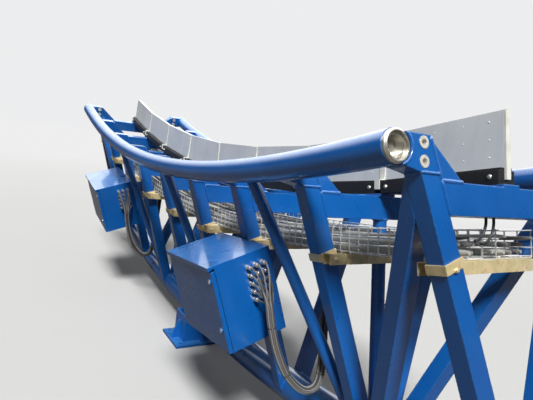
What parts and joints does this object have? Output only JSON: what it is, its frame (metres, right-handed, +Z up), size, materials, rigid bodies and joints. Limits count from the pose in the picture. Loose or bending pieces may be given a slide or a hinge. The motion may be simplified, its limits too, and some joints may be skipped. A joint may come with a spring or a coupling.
{
  "type": "roller coaster launch track section",
  "caption": "Valley-shaped section of launch track on leaning frames and a round spine, with stator plates, cable trays and junction boxes with hinged doors.",
  "frame": {"origin": "centre of the base plate's underside, on the floor", "axes": "+X along the track, +Y across it to the far rail, +Z up"},
  "size_m": [4.9818, 1.1884, 1.7538],
  "materials": {
    "blue_paint": "glossy blue paint",
    "machined_steel": "bare machined steel",
    "black_paint": "black paint",
    "stator_metal": "dull silver plate",
    "white_cap": "white paint",
    "galvanised_wire": "galvanised",
    "yellow_zinc": "yellow zinc plating",
    "grey_cable": "grey cable sheath",
    "black_cable": "black cable sheath",
    "nickel": "nickel-plated brass",
    "terminal_grey": "moulded plastic"
  },
  "bodies": {
    "frame": {"rail_near": "blue_paint", "rail_far": "blue_paint", "spine": "blue_paint", "spine_flanges": "blue_paint", "cross_beams": "blue_paint", "heads_near": "blue_paint", "heads_far": "blue_paint", "corner_wedges": "blue_paint", "legs_near": "blue_paint", "legs_far": "blue_paint", "end_braces": "blue_paint", "round_braces_near": "blue_paint", "round_braces_far": "blue_paint", "centre_posts": "blue_paint", "foot_column": "blue_paint", "base_plate": "blue_paint", "box_a_case": "blue_paint", "box_a_bars": "blue_paint", "box_b_case": "blue_paint", "box_b_bars": "blue_paint", "rail_end_rings": "machined_steel", "bolt_sleeves": "machined_steel", "stator_carriers": "black_paint", "stator_plates": "stator_metal", "stator_caps": "white_cap", "tray_hoops": "galvanised_wire", "tray_wires_near": "galvanised_wire", "tray_wires_far": "galvanised_wire", "tray_cables_near": "grey_cable", "tray_cables_far": "grey_cable", "box_a_cables": "grey_cable", "box_b_cables": "grey_cable", "tray_struts": "yellow_zinc", "tray_straps": "yellow_zinc", "black_leads": "black_cable", "box_a_glands": "nickel", "box_a_terminals": "terminal_grey", "box_b_glands": "nickel", "box_b_terminals": "terminal_grey"},
    "box_a_door": {"box_a_door": "blue_paint"},
    "box_b_door": {"box_b_door": "blue_paint"}
  },
  "joints": [
    {"name": "box_a_door_hinge", "type": "hinge", "parent": "frame", "child": "box_a_door", "pos_m": [0.93528, -0.54344, 0.7589], "axis": [0.1259, 0.3134, -0.9412], "range_deg": [0, 110]},
    {"name": "box_b_door_hinge", "type": "hinge", "parent": "frame", "child": "box_b_door", "pos_m": [-1.38762, -0.54344, 0.81819], "axis": [-0.1209, 0.3134, -0.9419], "range_deg": [0, 110]}
  ]
}
